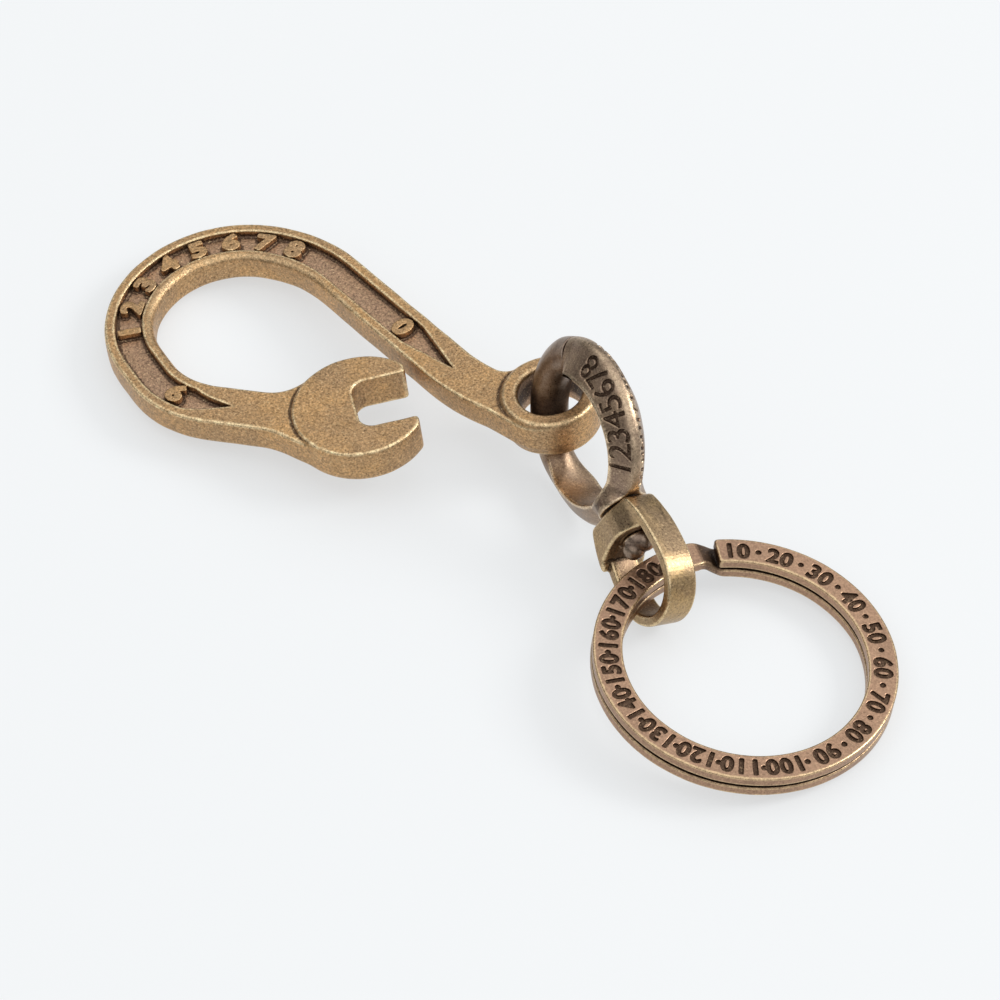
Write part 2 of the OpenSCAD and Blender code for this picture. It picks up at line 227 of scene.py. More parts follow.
# what every aged brass has in common: its noises, with the levels between which each one shows
patchNoise = {"detail": 3, "roughness": 0.55, "distortion": 0.4, "shows": (0.38, 0.64)}
mottleNoise = {"perMm": 1.1, "detail": 5, "roughness": 0.68, "shows": (0.36, 0.7, 0.0, 0.6),
               "inHollows": (0.2, 0.7, 1.0, 0.75), "onEdges": (0.32, 0.58, 0.25, 1.0)}
grainNoise = {"detail": 4, "roughness": 0.8, "shows": (0.34, 0.66), "inGrimeAndShade": (0.3, 0.7, 1.0, 0.8),
              "inPolish": (0.3, 0.7)}
speckNoise = {"perMm": 5.2, "detail": 2, "roughness": 0.6, "bright": (0.57, 0.72), "dark": (0.43, 0.3)}
gritNoise = {"perMm": 1.9, "detail": 3, "roughness": 0.6, "share": 0.4}
polish = {"spread": 0.08, "dullness": 0.16, "hollowDullness": 0.6, "rubbing": 0.1, "hollowRubbing": 0.15}


# aged brass: golden where it is rubbed, browner in patches, dark where grime has settled and where shade is
# painted into nooks and deep places
def agedBrass(name, look):
    material = bpy.data.materials.new(name)
    material.use_nodes = True
    nodes, links = material.node_tree.nodes, material.node_tree.links
    shader = nodes["Principled BSDF"]
    shader.inputs["Metallic"].default_value = look["metallic"]
    coordinates = nodes.new("ShaderNodeTexCoord")

    def noise(kind, perMm):
        node = nodes.new("ShaderNodeTexNoise")
        node.inputs["Scale"].default_value = perMm / mm
        node.inputs["Detail"].default_value = kind["detail"]
        node.inputs["Roughness"].default_value = kind["roughness"]
        node.inputs["Distortion"].default_value = kind.get("distortion", 0.0)
        links.new(coordinates.outputs["Object"], node.inputs["Vector"])
        return node.outputs["Fac"]

    def ramp(source, low, high, toLow=0.0, toHigh=1.0):
        node = nodes.new("ShaderNodeMapRange")
        links.new(source, node.inputs["Value"])
        for label, value in (("From Min", low), ("From Max", high), ("To Min", toLow), ("To Max", toHigh)):
            node.inputs[label].default_value = value
        return node.outputs["Result"]

    def combined(kind, a, b):
        node = nodes.new("ShaderNodeMath")
        node.operation = kind
        node.use_clamp = True
        for socket, value in zip(node.inputs, (a, b)):
            if isinstance(value, (int, float)):
                socket.default_value = value
            else:
                links.new(value, socket)
        return node.outputs["Value"]

    def blend(share, a, b):
        node = nodes.new("ShaderNodeMix")
        node.data_type = "RGBA"
        links.new(share, node.inputs["Factor"])
        for socket, value in zip((node.inputs[6], node.inputs[7]), (a, b)):
            if isinstance(value, tuple):
                socket.default_value = (*value, 1)
            else:
                links.new(value, socket)
        return node.outputs[2]

    def shaded(colour, light):
        node = nodes.new("ShaderNodeMix")
        node.data_type = "RGBA"
        node.blend_type = "MULTIPLY"
        node.inputs["Factor"].default_value = 1
        links.new(colour, node.inputs[6])
        links.new(light, node.inputs[7])
        return node.outputs[2]

    def carried(label):
        node = nodes.new("ShaderNodeAttribute")
        node.attribute_name = label
        return node.outputs["Fac"]

    worn, sunk, nook = carried("worn"), carried("sunk"), carried("nook")
    patches = noise(patchNoise, look["patchPerMm"])
    mottle = noise(mottleNoise, mottleNoise["perMm"])
    grain = noise(grainNoise, look["grainPerMm"])
    speck = noise(speckNoise, speckNoise["perMm"])
    colour = blend(ramp(patches, *patchNoise["shows"]), look["body"], look["patina"])
    colour = blend(ramp(mottle, *mottleNoise["shows"]), colour, look["patina"])
    # hollows darken, though unevenly: the channel and engraved marks have their own darker tint, while the
    # hook's eye, the split ring's slit and the shackle's seams get painted shade, and the inside of the
    # stirrup a painted reflection of the split ring
    deep = ramp(sunk, look["sunkFrom"], look["sunkTo"])
    deep = combined("MULTIPLY", deep, ramp(mottle, *mottleNoise["inHollows"]))
    colour = blend(combined("MULTIPLY", deep, look["sunkShare"]), colour, look["sunkColour"])
    # edges are rubbed bright here and there, though hardly in the hollows
    rubbed = ramp(worn, look["rubFrom"], look["rubTo"])
    rubbed = combined("MULTIPLY", rubbed, ramp(mottle, *mottleNoise["onEdges"]))
    rubbed = combined("MULTIPLY", rubbed, ramp(deep, 0, 1, 1.0, polish["hollowRubbing"]))
    colour = blend(rubbed, colour, look["rubbed"])
    # grime and painted shade lie in the nooks, and painted shade darkens the deepest places where a look
    # says how deep those are
    grimeAndShade = ramp(nook, look["nookFrom"], look["nookTo"])
    grimeAndShade = combined("MULTIPLY", grimeAndShade, ramp(grain, *grainNoise["inGrimeAndShade"]))
    if "voidFrom" in look:
        grimeAndShade = combined("MAXIMUM", grimeAndShade, ramp(sunk, look["voidFrom"], look["voidTo"]))
    grimeAndShade = combined("MULTIPLY", grimeAndShade, look["grimeAndShadeShare"])
    colour = blend(grimeAndShade, colour, look["grimeAndShadeColour"])
    colour = blend(ramp(speck, *speckNoise["bright"], 0.0, look["specks"]), colour, look["rubbed"])
    colour = blend(ramp(speck, *speckNoise["dark"], 0.0, look["specks"]), colour, look["grimeAndShadeColour"])
    contrast = look["grainContrast"]
    colour = shaded(colour, ramp(grain, *grainNoise["shows"], 1 - contrast, 1 + contrast))
    links.new(colour, shader.inputs["Base Color"])
    # duller under the grime and painted shade and in hollows, smoother on the rubbed edges
    smoothest, roughest = look["roughness"] - polish["spread"], look["roughness"] + polish["spread"]
    rough = ramp(grain, *grainNoise["inPolish"], smoothest, roughest)
    dull = combined("MAXIMUM", grimeAndShade, combined("MULTIPLY", deep, polish["hollowDullness"]))
    rough = combined("ADD", rough, combined("MULTIPLY", dull, polish["dullness"]))
    rough = combined("SUBTRACT", rough, combined("MULTIPLY", rubbed, polish["rubbing"]))
    links.new(rough, shader.inputs["Roughness"])
    grit = combined("MULTIPLY", noise(gritNoise, gritNoise["perMm"]), gritNoise["share"])
    height = combined("ADD", combined("MULTIPLY", grain, 1 - gritNoise["share"]), grit)
    bump = nodes.new("ShaderNodeBump")
    bump.inputs["Strength"].default_value = look["gritStrength"]
    bump.inputs["Distance"].default_value = look["gritDepth"] * mm
    links.new(height, bump.inputs["Height"])
    links.new(bump.outputs["Normal"], shader.inputs["Normal"])
    return material


def finish(piece, material, body, node):
    piece.data.materials.append(material)
    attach(piece, body)
    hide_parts(node)


# the hook: one chain of straight runs (length) and bends (degrees, radius) from the eye to the head
hook = {
    "at": (0.55, 12.17, 7.85), "heading": 20.5, "tilt": -6.5,
    "low": (-57.0, -15.5, -2.9), "high": (7.2, 23.5, 3.1), "cell": 0.1,
    "start": (-1.2, -1.8, 168.0), "halfway": 5,
    "line": [("run", 2.45), ("bend", -24.0, 25.0), ("run", 20.0), ("bend", 36.0, 17.25),
             ("bend", 90.0, 11.85), ("bend", 45.0, 11.7), ("run", 3.2), ("bend", 45.0, 11.7),
             ("run", 10.3)],
    "bandWidth": 5.8, "bandThickness": 3.7, "topRounding": 0.3, "lowRounding": 0.8, "innerRounding": 0.75,
    "loopFrom": 24, "loopBeforeEnd": 12, "loopFade": 8, "innerReach": 1.2,
    "lift": 0.12, "barrel": 0.12, "unevenSize": 1.9, "uneven": 0.035, "seed": 3,
    "eyeRadius": 5.55, "eyeBore": 3.6, "eyeHeight": 5.0, "eyeBarrel": 0.05, "eyeRounding": 0.5,
    "eyeFillet": 2.6, "eyeFilletAlong": 14, "eyeStep": 0.5,
    "boreFlare": 0.3, "boreFlareDepth": 0.5, "boreRounding": 0.4,
    "headPast": 6.5, "headRise": 2.25, "headRadius": 7.75, "headThickness": 4.4, "headLowRounding": 0.7,
    "headFillet": 4.2, "headFilletAlong": 22, "headFilletInset": 0.05, "headStep": 0.3,
    "jawWidth": 7.0, "jawTurn": 28.0, "jawBack": -0.4, "jawTip": 6.0, "jawCorner": 1.6,
    "jawTipRounding": 0.5, "jawRounding": 0.28,
    "channelWidth": 3.1, "channelDepth": 0.95, "channelTaper": 7.5, "neckTaper": 5.2,
    "channelLead": 1.5, "neckPoint": 2.4, "pointPast": 1, "pointShare": -0.2,
    "channelSlope": 0.06, "channelFillet": 0.25, "channelRounding": 0.16,
    "numerals": "12345678", "numeralHeight": 2.35, "numeralSpread": 1.2, "numeralReach": 2.4,
    "numeralFrom": 67.25, "numeralPitch": -3.94, "single": [(79.3, "9"), (20.6, "0")], "bold": 0.24,
    "numeralSunk": 0.6, "numeralHalf": 0.55, "numeralRounding": 0.07, "numeralFillet": 0.08,
}


# where each run or bend starts, and its heading there
def chainStations(start, line):
    stations = [start]
    for part in line:
        x, y, heading = stations[-1]
        a = math.radians(heading)
        if part[0] == "run":
            stations.append((x + part[1] * math.cos(a), y + part[1] * math.sin(a), heading))
        else:
            way = math.copysign(1, part[1])
            cx, cy = x - way * part[2] * math.sin(a), y + way * part[2] * math.cos(a)
            after = heading + part[1]
            b = math.radians(after)
            stations.append((cx + way * part[2] * math.sin(b), cy - way * part[2] * math.cos(b), after))
    return stations


def partLength(part):
    return part[1] if part[0] == "run" else abs(math.radians(part[1])) * part[2]


def chainPoint(start, line, along):
    for station, part in zip(chainStations(start, line), line):
        length = partLength(part)
        if along <= length or part is line[-1]:
            piece = ("run", along) if part[0] == "run" else ("bend", part[1] * along / length, part[2])
            return chainStations(station, [piece])[1]
        along -= length


# distance from the chain's centre line, how far to its left, and how far along it
def chainField(x, y, start, line):
    best = np.full(x.shape, 1e6, np.float32)
    across = np.zeros(x.shape, np.float32)
    along = np.zeros(x.shape, np.float32)
    passed = 0.0
    for (sx, sy, heading), part in zip(chainStations(start, line), line):
        a = math.radians(heading)
        length = partLength(part)
        if part[0] == "run":
            t = (x - sx) * math.cos(a) + (y - sy) * math.sin(a)
            side = (y - sy) * math.cos(a) - (x - sx) * math.sin(a)
            beyond = np.maximum(np.maximum(-t, t - length), 0)
            distance = np.hypot(side, beyond)
        else:
            way = math.copysign(1, part[1])
            cx, cy = sx - way * part[2] * math.sin(a), sy + way * part[2] * math.cos(a)
            radius = np.hypot(x - cx, y - cy)
            swept = way * (np.arctan2(y - cy, x - cx) - a + way * math.pi / 2)
            middle = abs(math.radians(part[1])) / 2
            swept = (swept - middle + math.pi) % (2 * math.pi) - math.pi + middle
            t = swept * part[2]
            side = way * (part[2] - radius)
            # past either end of the bend, the chord from there
            over = np.maximum(np.maximum(-swept, swept - 2 * middle), 0)
            chord = 2 * np.sin(np.minimum(over, 3) / 2) * part[2]
            distance = np.hypot(side, np.where(over > 0, chord, 0))
        closer = distance < best
        best = np.where(closer, distance, best)
        across = np.where(closer, side, across)
        along = np.where(closer, np.clip(t, 0, length) + passed, along)
        passed += length
    return best, across, along


def castHook(h):
    xs, ys, zs = grid(h["low"], h["high"], h["cell"])
    x, y = np.meshgrid(xs, ys, indexing="ij")
    z = zs[None, None, :] - h["lift"]
    stations = chainStations(h["start"], h["line"])
    lengths = [partLength(p) for p in h["line"]]
    split, total = sum(lengths[:h["halfway"]]), sum(lengths)
    half = h["bandThickness"] / 2

    # the loop's inner edge is rounder than its outer one
    def bandBody(flat, inner):
        rounding = h["topRounding"] + inner[:, :, None] * (h["innerRounding"] - h["topRounding"])
        flat = flat[:, :, None] + h["barrel"] * (z / half) ** 2
        return np.where(z > 0, slab(flat, z, half, rounding), slab(flat, z, half, h["lowRounding"]))

    def insideLoop(across, along):
        within = np.minimum(along - h["loopFrom"], total - h["loopBeforeEnd"] - along)
        return np.clip(within / h["loopFade"], 0, 1) * np.clip(across / h["innerReach"], 0, 1)

    # from the eye over the top of the loop
    distance, across, along = chainField(x, y, h["start"], h["line"][:h["halfway"]])
    eyeFlat = np.hypot(x, y) - h["eyeRadius"]
    flat = distance - h["bandWidth"] / 2
    nearEye = np.where(along < h["eyeFilletAlong"], flat, farAway)
    flat = np.minimum(flat, softMin(nearEye, eyeFlat, h["eyeFillet"]))
    body = bandBody(flat, insideLoop(across, along))
    # from the loop's low side to the spanner head, and the jaws cut into that half alone
    distance2, across2, along2 = chainField(x, y, stations[h["halfway"]], h["line"][h["halfway"]:])
    along2 = along2 + split
    end = stations[-1]
    headX, headY = end[0] + h["headPast"], end[1] + h["headRise"]
    headFlat = np.hypot(x - headX, y - headY) - h["headRadius"]
    flat = distance2 - h["bandWidth"] / 2
    nearHead = np.where(along2 > total - h["headFilletAlong"], flat, farAway)
    flat = np.minimum(flat, softMin(nearHead, headFlat + h["headFilletInset"], h["headFillet"]))
    lower = bandBody(flat, insideLoop(across2, along2))
    headHalf = h["headThickness"] / 2
    headSide = headFlat[:, :, None] + h["barrel"] * (z / headHalf) ** 2
    head = np.where(z > 0, slab(headSide, z, headHalf, h["topRounding"]),
                    slab(headSide, z, headHalf, h["headLowRounding"]))
    lower = softMin(lower, head, h["headStep"])
    turn = math.radians(h["jawTurn"])
    jx = (x - headX) * math.cos(turn) + (y - headY) * math.sin(turn)
    jy = (y - headY) * math.cos(turn) - (x - headX) * math.sin(turn)
    corner = h["jawCorner"]
    qx = h["jawBack"] - jx + corner
    qy = np.abs(jy) - h["jawWidth"] / 2 + corner
    mouth = np.minimum(np.maximum(qx, qy), 0) + np.hypot(np.maximum(qx, 0), np.maximum(qy, 0)) - corner
    mouth = softMin(mouth, h["jawTip"] - jx, h["jawTipRounding"])[:, :, None]
    lower = softMax(lower, -mouth, h["jawRounding"])
    body = np.minimum(body, lower)
    nearer = distance2 < distance
    across = np.where(nearer, across2, across)
    along = np.where(nearer, along2, along)
    # the eye stands a little above and below the shank
    eyeZ = zs[None, None, :]
    eyeHalf = h["eyeHeight"] / 2
    eyeSide = eyeFlat[:, :, None] + h["eyeBarrel"] * (eyeZ / eyeHalf) ** 2
    eye = slab(eyeSide, eyeZ, eyeHalf, h["eyeRounding"])
    body = softMin(body, eye, h["eyeStep"])
    body = body + unevenness((xs, ys, zs), h["unevenSize"], h["uneven"], h["seed"]) + h["uneven"]
    plain = body.astype(np.float32)
    flare = h["boreFlare"] * np.clip(np.abs(eyeZ) - eyeHalf + h["boreFlareDepth"], 0, 1)
    bore = np.hypot(x, y)[:, :, None] - h["eyeBore"] - flare
    body = softMax(body, -bore, h["boreRounding"])
    # the channel, with a point at each end
    first = lengths[0] + lengths[1] - h["channelLead"]
    last = total - lengths[-1] + h["neckPoint"]
    width = np.minimum((along - first) / h["channelTaper"], (last - along) / h["neckTaper"])
    width = np.clip(width, h["pointShare"], 1) * h["channelWidth"] / 2
    alongside = (along > first - h["pointPast"]) & (along < last + h["pointPast"])
    channelFlat = np.where(alongside, np.abs(across) - width, farAway)
    channel = channelFlat[:, :, None] - h["channelSlope"] * (z - half)
    channel = softMax(channel, (half - h["channelDepth"]) - z, h["channelFillet"])
    body = softMax(body, -channel, h["channelRounding"])
    # numerals stand in the channel, their tops level with its rims
    unlettered = body.copy()
    spots = [(h["numeralFrom"] + i * h["numeralPitch"], c) for i, c in enumerate(h["numerals"])]
    size, reach = h["numeralHeight"], h["numeralReach"]
    for where, character in spots + h["single"]:
        px, py, heading = chainPoint(h["start"], h["line"], where)
        a = math.radians(heading + 180)
        window = np.ix_(np.abs(xs - px) < reach, np.abs(ys - py) < reach)
        gx, gy = x[window] - px, y[window] - py
        u = gx * math.cos(a) + gy * math.sin(a)
        v = gy * math.cos(a) - gx * math.sin(a)
        flat = polygonField(numerals[character], u / size / h["numeralSpread"], v / size)
        flat = flat * size - h["bold"]
        raised = slab(flat[:, :, None], z - half + h["numeralSunk"], h["numeralHalf"], h["numeralRounding"])
        body[window] = softMin(body[window], raised, h["numeralFillet"])
    place = moved(*h["at"]) @ turned("Z", h["heading"]) @ turned("Y", h["tilt"])
    return skin("hookCasting", body, unlettered, plain, h["low"], h["cell"], place)


hookPiece = castHook(hook)
# the hook's eye bore gets the hollow colour and is darkened with depth: painted shade
hookBrass = agedBrass("hookBrass", {
    "metallic": 1.0, "patchPerMm": 0.16, "body": (0.6, 0.36, 0.16), "patina": (0.45, 0.285, 0.15),
    "rubbed": (0.85, 0.65, 0.38), "sunkColour": (0.42, 0.275, 0.19), "grimeAndShadeColour": (0.07, 0.042, 0.03),
    "rubFrom": 0.8, "rubTo": 2.6, "sunkFrom": 0.2, "sunkTo": 0.7, "sunkShare": 0.9,
    "nookFrom": 0.4, "nookTo": 1.3, "voidFrom": 1.0, "voidTo": 1.7, "grimeAndShadeShare": 0.92,
    "specks": 0.6, "grainPerMm": 3.2, "grainContrast": 0.5,
    "roughness": 0.4, "gritStrength": 1.0, "gritDepth": 0.09})
finish(hookPiece, hookBrass, "hook", "hook")


# the shackle: a ring with two sloping faces, flat where the swivel sits, closed by a round bar
shackle = {
    "at": (7.71, 9.16, 10.88), "heading": 242.8, "lean": 77.4,
    "low": (-11.4, -11.4, -2.9), "high": (11.4, 11.4, 2.9), "cell": 0.07,
    "radius": 10.74, "bore": 7.2, "boreOffset": 0.7, "boreFlare": 0.06, "boreRounding": 0.3,
    "innerWidth": 5.7, "rimWidth": 1.05, "ridgeRounding": 1.0, "rimRounding": 0.8,
    "pinAt": 73.2, "seat": 9.9, "seatRounding": 0.25, "boss": 2.9, "bossInset": 0.5, "bossFillet": 0.8,
    "barLow": (-11.4, -11.4, -2.3), "barHigh": (8.6, 0.4, 2.3),
    "barLine": 8.7, "barRadius": 1.9, "barSwell": 0.25, "swellReach": 2.5,
    "seamTop": -137.5, "seamLow": -35.0, "seamGap": 0.06, "seamRounding": 0.16,
    "seamReach": (1.6, 5.0), "seamShare": (0.45, 1.0),
    "unevenSize": 1.7, "uneven": 0.02, "seed": 5, "barSeed": 6,
    "marks": [("12345678", 109.0, 11.2, 1, 2.75, 9.0), ("98765432109876", 200.0, -7.6, -1, 2.1, 10.2),
              ("24680", 48.0, -12.5, -1, 2.3, 9.6)],
    "markReach": {"degrees": 9, "below": 0.8, "across": 2.2}, "markDepth": 0.32, "markRounding": 0.08,
    "bold": 0.03,
}
shacklePlace = moved(*shackle["at"]) @ turned("Z", shackle["heading"]) @ turned("Y", shackle["lean"])
pinPlace = shacklePlace @ turned("Z", shackle["pinAt"])


# how far a spot is from each seam's plane, on the ring's side of it
def pastSeams(x, y, s):
    a, b = math.radians(s["seamLow"]), math.radians(s["seamTop"])
    pastLow = x * -math.sin(a) + y * math.cos(a)
    pastTop = -(x * -math.sin(b) + y * math.cos(b))
    return pastLow, pastTop


def castShackle(s):
    xs, ys, zs = grid(s["low"], s["high"], s["cell"])
    x, y, z = np.meshgrid(xs, ys, zs, indexing="ij")
    radius = np.hypot(x, y)
    rise = (s["innerWidth"] - s["rimWidth"]) / 2
    run = s["radius"] - s["bore"]
    length = math.hypot(rise, run)
    nr, nz = rise / length, run / length
    faceUp = (radius - s["bore"]) * nr + (z - s["innerWidth"] / 2) * nz
    faceDown = (radius - s["bore"]) * nr + (-z - s["innerWidth"] / 2) * nz
    body = softMax(faceUp, faceDown, s["ridgeRounding"])
    body = softMax(body, radius - s["radius"], s["rimRounding"])
    pin = math.radians(s["pinAt"])
    px = x * math.cos(pin) + y * math.sin(pin)
    py = y * math.cos(pin) - x * math.sin(pin)
    boss = np.maximum(np.hypot(py, z) - s["boss"], s["bore"] - s["bossInset"] - px)
    body = softMin(body, boss, s["bossFillet"])
    flare = s["boreFlare"] * (2 * z / s["innerWidth"]) ** 2
    bore = np.hypot(px - s["boreOffset"], py) - s["bore"] - flare
    body = softMax(body, -bore, s["boreRounding"])
    # towards the seams the section turns into the bar's round one
    bar = np.hypot(radius - s["barLine"], z) - s["barRadius"]
    pastLow, pastTop = pastSeams(x, y, s)
    topReach, lowReach = s["seamReach"]
    seam = np.clip(1 - np.maximum(pastLow / lowReach, pastTop / topReach), 0, 1)
    seam = eased(seam) * np.where(pastTop > pastLow, *s["seamShare"])
    body = body * (1 - seam) + bar * seam
    body = softMax(body, px - s["seat"], s["seatRounding"])
    body = body + unevenness((xs, ys, zs), s["unevenSize"], s["uneven"], s["seed"]) + s["uneven"]
    plain = body.astype(np.float32)
    # the seams are cut after plain, so their gaps count as deep and are darkened with painted shade
    body = softMax(plain, -np.maximum(pastLow, pastTop) + s["seamGap"], s["seamRounding"])
    # marks: their text, first place and pitch in degrees, side, height and distance from the centre
    angle = np.degrees(np.arctan2(y, x)) % 360
    reach = s["markReach"]
    for text, start, pitch, side, size, middle in s["marks"]:
        face = faceUp if side > 0 else faceDown
        level = (np.abs(face) < reach["below"]) & (np.abs(radius - middle) < reach["across"])
        for i, character in enumerate(text):
            at = (start + i * pitch) % 360
            near = (np.abs(angle - at) < reach["degrees"]) & level
            u = side * np.radians(angle[near] - at) * middle
            v = (middle - radius[near]) / nz
            flat = polygonField(numerals[character], u / size, v / size) * size - s["bold"]
            cut = np.maximum(flat, -face[near] - s["markDepth"])
            body[near] = softMax(body[near], -cut, s["markRounding"])
    return skin("shackleCasting", body, plain, plain, s["low"], s["cell"], shacklePlace)


# the bar is a little thicker between its ends
def castBar(s):
    xs, ys, zs = grid(s["barLow"], s["barHigh"], s["cell"])
    x, y, z = np.meshgrid(xs, ys, zs, indexing="ij")
    past = np.maximum(*pastSeams(x, y, s))
    swell = s["barSwell"] * eased(np.clip(-past / s["swellReach"], 0, 1))
    bar = np.hypot(np.hypot(x, y) - s["barLine"], z) - s["barRadius"] - swell
    bar = bar + unevenness((xs, ys, zs), s["unevenSize"], s["uneven"], s["barSeed"]) + s["uneven"]
    # its ends are cut after the plain bar, so the seam gaps count as deep and get painted shade
    body = softMax(bar, past + s["seamGap"], s["seamRounding"])
    return skin("shackleBar", body, bar, bar, s["barLow"], s["cell"], shacklePlace)


shacklePiece = castShackle(shackle)
barPiece = castBar(shackle)
shackleBrass = agedBrass("shackleBrass", {
    "metallic": 1.0, "patchPerMm": 0.22, "body": (0.38, 0.265, 0.17), "patina": (0.28, 0.195, 0.14),
    "rubbed": (0.78, 0.60, 0.40), "sunkColour": (0.075, 0.045, 0.03), "grimeAndShadeColour": (0.07, 0.042, 0.028),
    "rubFrom": 0.45, "rubTo": 1.6, "sunkFrom": 0.04, "sunkTo": 0.16, "sunkShare": 0.95,
    "nookFrom": 0.7, "nookTo": 2.2, "grimeAndShadeShare": 0.85,
    "specks": 0.45, "grainPerMm": 3.6, "grainContrast": 0.32,
    "roughness": 0.36, "gritStrength": 0.8, "gritDepth": 0.05})
barBrass = agedBrass("barBrass", {
    "metallic": 1.0, "patchPerMm": 0.25, "body": (0.42, 0.33, 0.26), "patina": (0.23, 0.165, 0.125),
    "rubbed": (0.64, 0.50, 0.36), "sunkColour": (0.05, 0.03, 0.02), "grimeAndShadeColour": (0.05, 0.032, 0.022),
    "rubFrom": 1.2, "rubTo": 3.0, "sunkFrom": 0.04, "sunkTo": 0.2, "sunkShare": 0.95,
    "nookFrom": 0.6, "nookTo": 2.0, "grimeAndShadeShare": 0.9,
    "specks": 0.35, "grainPerMm": 3.6, "grainContrast": 0.26,
    "roughness": 0.34, "gritStrength": 0.6, "gritDepth": 0.04})
finish(shacklePiece, shackleBrass, "shackle", "shackle_ring")
finish(barPiece, barBrass, "shackle", "shackle_bar")


# the rivet: a stem whose hammered head has two lobes
rivet = {
    "low": (7.4, -2.3, -2.3), "high": (16.2, 2.3, 2.3), "cell": 0.05,
    "stem": 1.2, "innerEnd": 7.9, "stemPast": 0.3, "headBase": 13.53, "headRadius": 2.3,
    "lobes": [(0.55, 0.55, -0.4, 1.42), (0.95, -0.6, 0.6, 1.3), (0.1, 0.0, 0.0, 1.7)],
    "lobeFillet": 0.16, "baseRounding": 0.15, "rimRounding": 0.2, "stemRounding": 0.15,
    "unevenSize": 0.9, "uneven": 0.02, "seed": 8,
}


def castRivet(r):
    xs, ys, zs = grid(r["low"], r["high"], r["cell"])
    x, y, z = np.meshgrid(xs, ys, zs, indexing="ij")
    radius = np.hypot(y, z)
    head = np.full(x.shape, farAway, np.float32)
    for lx, ly, lz, size in r["lobes"]:
        lobe = np.sqrt((x - r["headBase"] - lx) ** 2 + (y - ly) ** 2 + (z - lz) ** 2) - size
        head = softMin(head, lobe, r["lobeFillet"])
    head = softMax(head, r["headBase"] - x, r["baseRounding"])
    head = softMax(head, radius - r["headRadius"], r["rimRounding"])
    ends = np.maximum(r["innerEnd"] - x, x - r["headBase"] - r["stemPast"])
    stem = softMax(radius - r["stem"], ends, r["stemRounding"])
    body = np.minimum(head, stem)
    body = body + unevenness((xs, ys, zs), r["unevenSize"], r["uneven"], r["seed"]) + r["uneven"]
    return skin("rivet", body, body, body, r["low"], r["cell"], pinPlace)


rivetPiece = castRivet(rivet)
finish(rivetPiece, barBrass, "shackle", "swivel_rivet")


# the stirrup: a thick head on the swivel, flanks that draw in towards it and a round end
stirrup = {
    "offset": 10.05, "turn": -5.4, "low": (-0.5, -5.9, -3.4), "high": (14.3, 5.9, 3.4), "cell": 0.07,
    "width": 3.7, "wall": 1.26, "holeRadius": 4.12, "reach": 8.35, "oval": 10.6,
    "flankSteps": 14, "crownSteps": 5, "capSteps": 40, "rounding": 0.3, "holeRounding": 0.4,
    "headWidth": 5.7, "headThickness": 3.4, "arch": 0.6, "archHalf": 3.2, "archRounding": 0.5,
    "headRounding": 0.5, "headFillet": 0.2, "shoulder": 1.0,
    "facets": [(0.1, 0.0, 0.2), (1.2, 0.22, 0.4)], "facetRounding": 0.06,
    "stem": 1.28, "stemPast": 1, "stemRounding": 0.2,
    "recess": 2.15, "recessFrom": 0.05, "recessTo": 1.5, "recessRounding": 0.12,
    "unevenSize": 1.5, "uneven": 0.025, "seed": 7,
}


# up one oval flank, across the crown, down the other flank and round the end
def stirrupOutline(s, top, arch, oval, radius):
    last = math.asin((s["reach"] - top - arch) / oval)
    leans = [k * last / s["flankSteps"] for k in range(s["flankSteps"] + 1)]
    flank = [(s["reach"] - oval * math.sin(a), radius * math.cos(a)) for a in leans]
    steps = s["crownSteps"]
    crown = [(top + arch * (k / steps) ** 2, radius * math.cos(last) * k / steps)
             for k in range(steps - 1, -steps, -1)]
    quarter = math.pi / 2
    cap = [(s["reach"] + radius * math.cos(a), radius * math.sin(a))
           for a in np.linspace(-quarter, quarter, s["capSteps"] + 1)]
    return flank + crown + [(px, -py) for px, py in reversed(flank)] + cap[1:-1]


def castStirrup(s):
    xs, ys, zs = grid(s["low"], s["high"], s["cell"])
    x, y = np.meshgrid(xs, ys, indexing="ij")
    z = zs[None, None, :]
    shoulder = s["shoulder"]
    outline = stirrupOutline(s, shoulder, 0, s["oval"] - shoulder, s["holeRadius"] + s["wall"] - shoulder)
    outer = polygonField(closedSegments(outline), x, y) - shoulder
    outline = stirrupOutline(s, s["headThickness"], s["arch"], s["oval"] - s["wall"], s["holeRadius"])
    hole = polygonField(closedSegments(outline), x, y)
    underHead = x - s["headThickness"] - s["arch"] * (y / s["archHalf"]) ** 2
    headFlat = softMax(outer, underHead, s["archRounding"])
    # the head's front and back have three facets along the rivet's line
    facet = 0 * y
    for start, drop, slope in s["facets"]:
        facet = softMax(facet, drop + (y - start) * slope, s["facetRounding"])
    facet = facet[:, :, None]
    band = slab(outer[:, :, None], z, s["width"] / 2, s["rounding"])
    head = slab(headFlat[:, :, None], np.abs(z) + facet, s["headWidth"] / 2, s["headRounding"])
    body = softMin(band, head, s["headFillet"])
    uneven = unevenness((xs, ys, zs), s["unevenSize"], s["uneven"], s["seed"]) + s["uneven"]
    block = (body + uneven).astype(np.float32)
    looped = (softMax(body, -hole[:, :, None], s["holeRounding"]) + uneven).astype(np.float32)
    # the rivet's hole, and a recess for its head
    away = x[:, :, None]
    across = np.hypot(y[:, :, None], z)
    stem = np.where(away < s["headThickness"] + s["stemPast"], across - s["stem"], farAway)
    recess = np.maximum(across - s["recess"], s["headThickness"] + s["recessFrom"] - away)
    recess = np.maximum(recess, away - s["headThickness"] - s["recessTo"])
    body = softMax(looped, -stem, s["stemRounding"])
    body = softMax(body, -recess, s["recessRounding"])
    place = pinPlace @ moved(s["offset"], 0, 0) @ turned("X", s["turn"])
    return skin("stirrupCasting", body.astype(np.float32), looped, block, s["low"], s["cell"], place)


